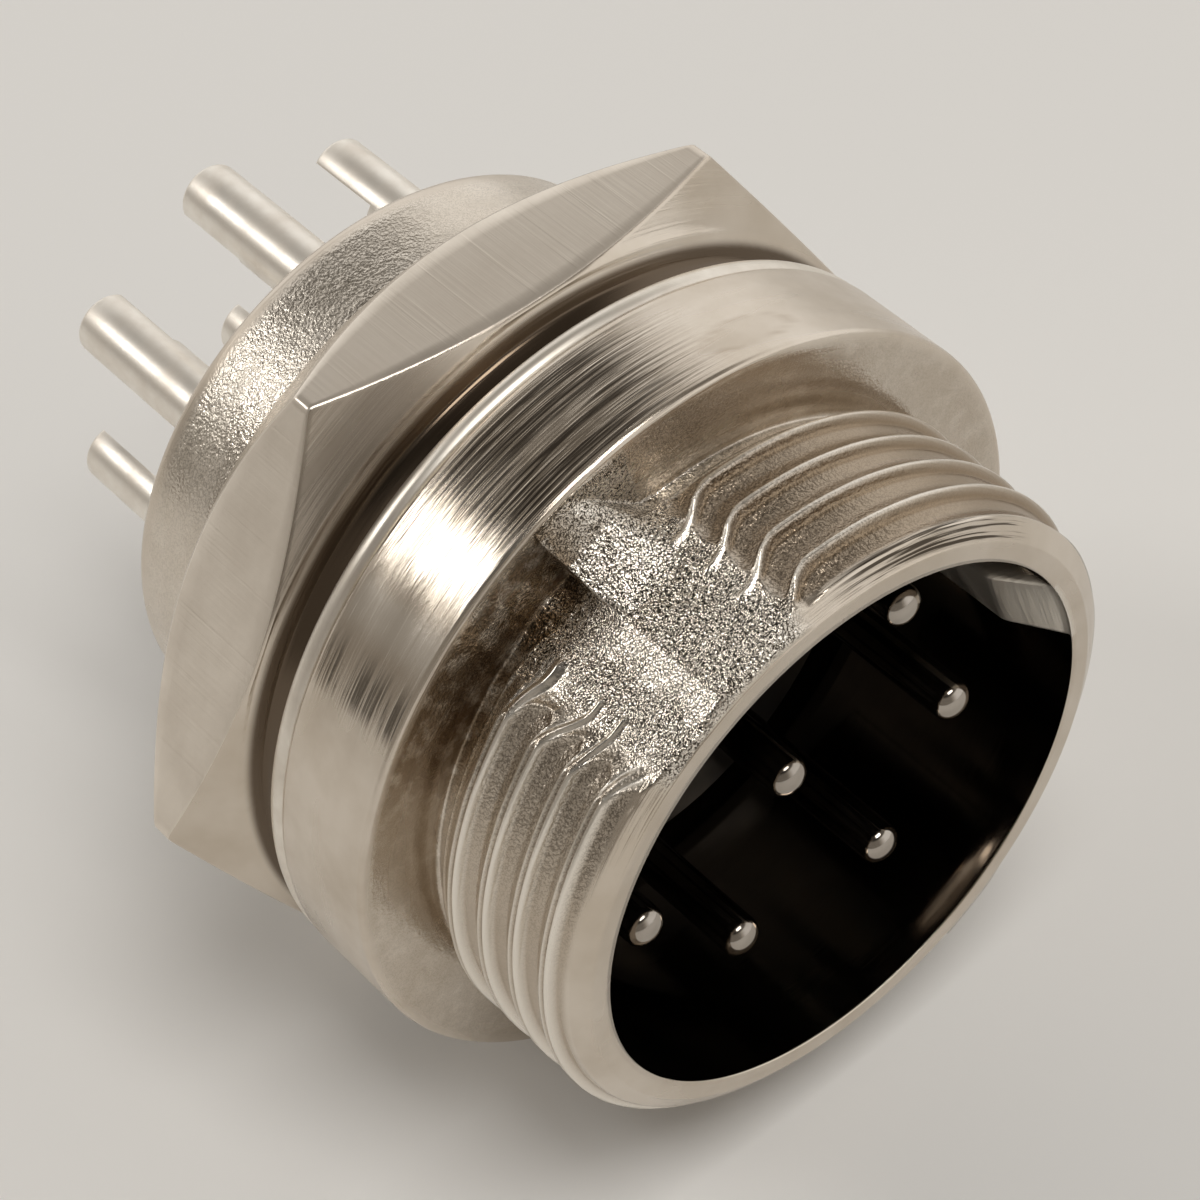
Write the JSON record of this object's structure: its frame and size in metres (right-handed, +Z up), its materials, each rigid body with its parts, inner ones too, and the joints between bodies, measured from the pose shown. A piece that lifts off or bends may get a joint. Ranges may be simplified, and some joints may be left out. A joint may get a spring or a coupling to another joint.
{
  "type": "panel-mount circular connector",
  "caption": "Round panel-mount connector: keyed cavity with pin contacts, threaded barrel, collar, washer, hexagon nut and solder cups behind.",
  "frame": {"origin": "on the connector's axis, in the plane of the collar's rear face, which seats on the panel", "axes": "+Y along the axis towards the solder cups, the mating front looks along -Y, +Z up, with a flat of the hexagon nut underneath"},
  "size_m": [0.022, 0.0218, 0.019],
  "materials": {
    "cast_nickel": "die-cast zinc with nickel plate, machined threads and collar, granular cast flats",
    "turned_nickel": "turned brass with nickel plate, fine scratches",
    "washer_steel": "thin steel with nickel plate, rounded edges",
    "black_moulding": "glossy black moulding",
    "silver_plate": "turned brass with silver plate",
    "spring_wire": "drawn spring steel wire"
  },
  "bodies": {
    "connector": {"shell": "cast_nickel", "front_insulator": "black_moulding", "rear_insulator": "black_moulding", "retaining_ring": "spring_wire", "contact_1": "silver_plate", "contact_2": "silver_plate", "contact_3": "silver_plate", "contact_4": "silver_plate", "contact_5": "silver_plate", "contact_6": "silver_plate", "contact_7": "silver_plate", "contact_8": "silver_plate"},
    "washer": {"panel_washer": "washer_steel"},
    "nut": {"panel_nut": "turned_nickel"}
  },
  "joints": [
    {"name": "nut_travel", "type": "slide", "parent": "connector", "child": "washer", "axis": [0, 1, 0], "range_m": [0, 0.003]},
    {"name": "nut_turn", "type": "hinge", "parent": "washer", "child": "nut", "pos_m": [0, 0.00225, 0], "axis": [0, 1, 0], "range_deg": [0, 1080]}
  ],
  "couplings": [
    {"joint": "nut_turn", "follows": "nut_travel", "rad_per_m": 6283.2}
  ]
}
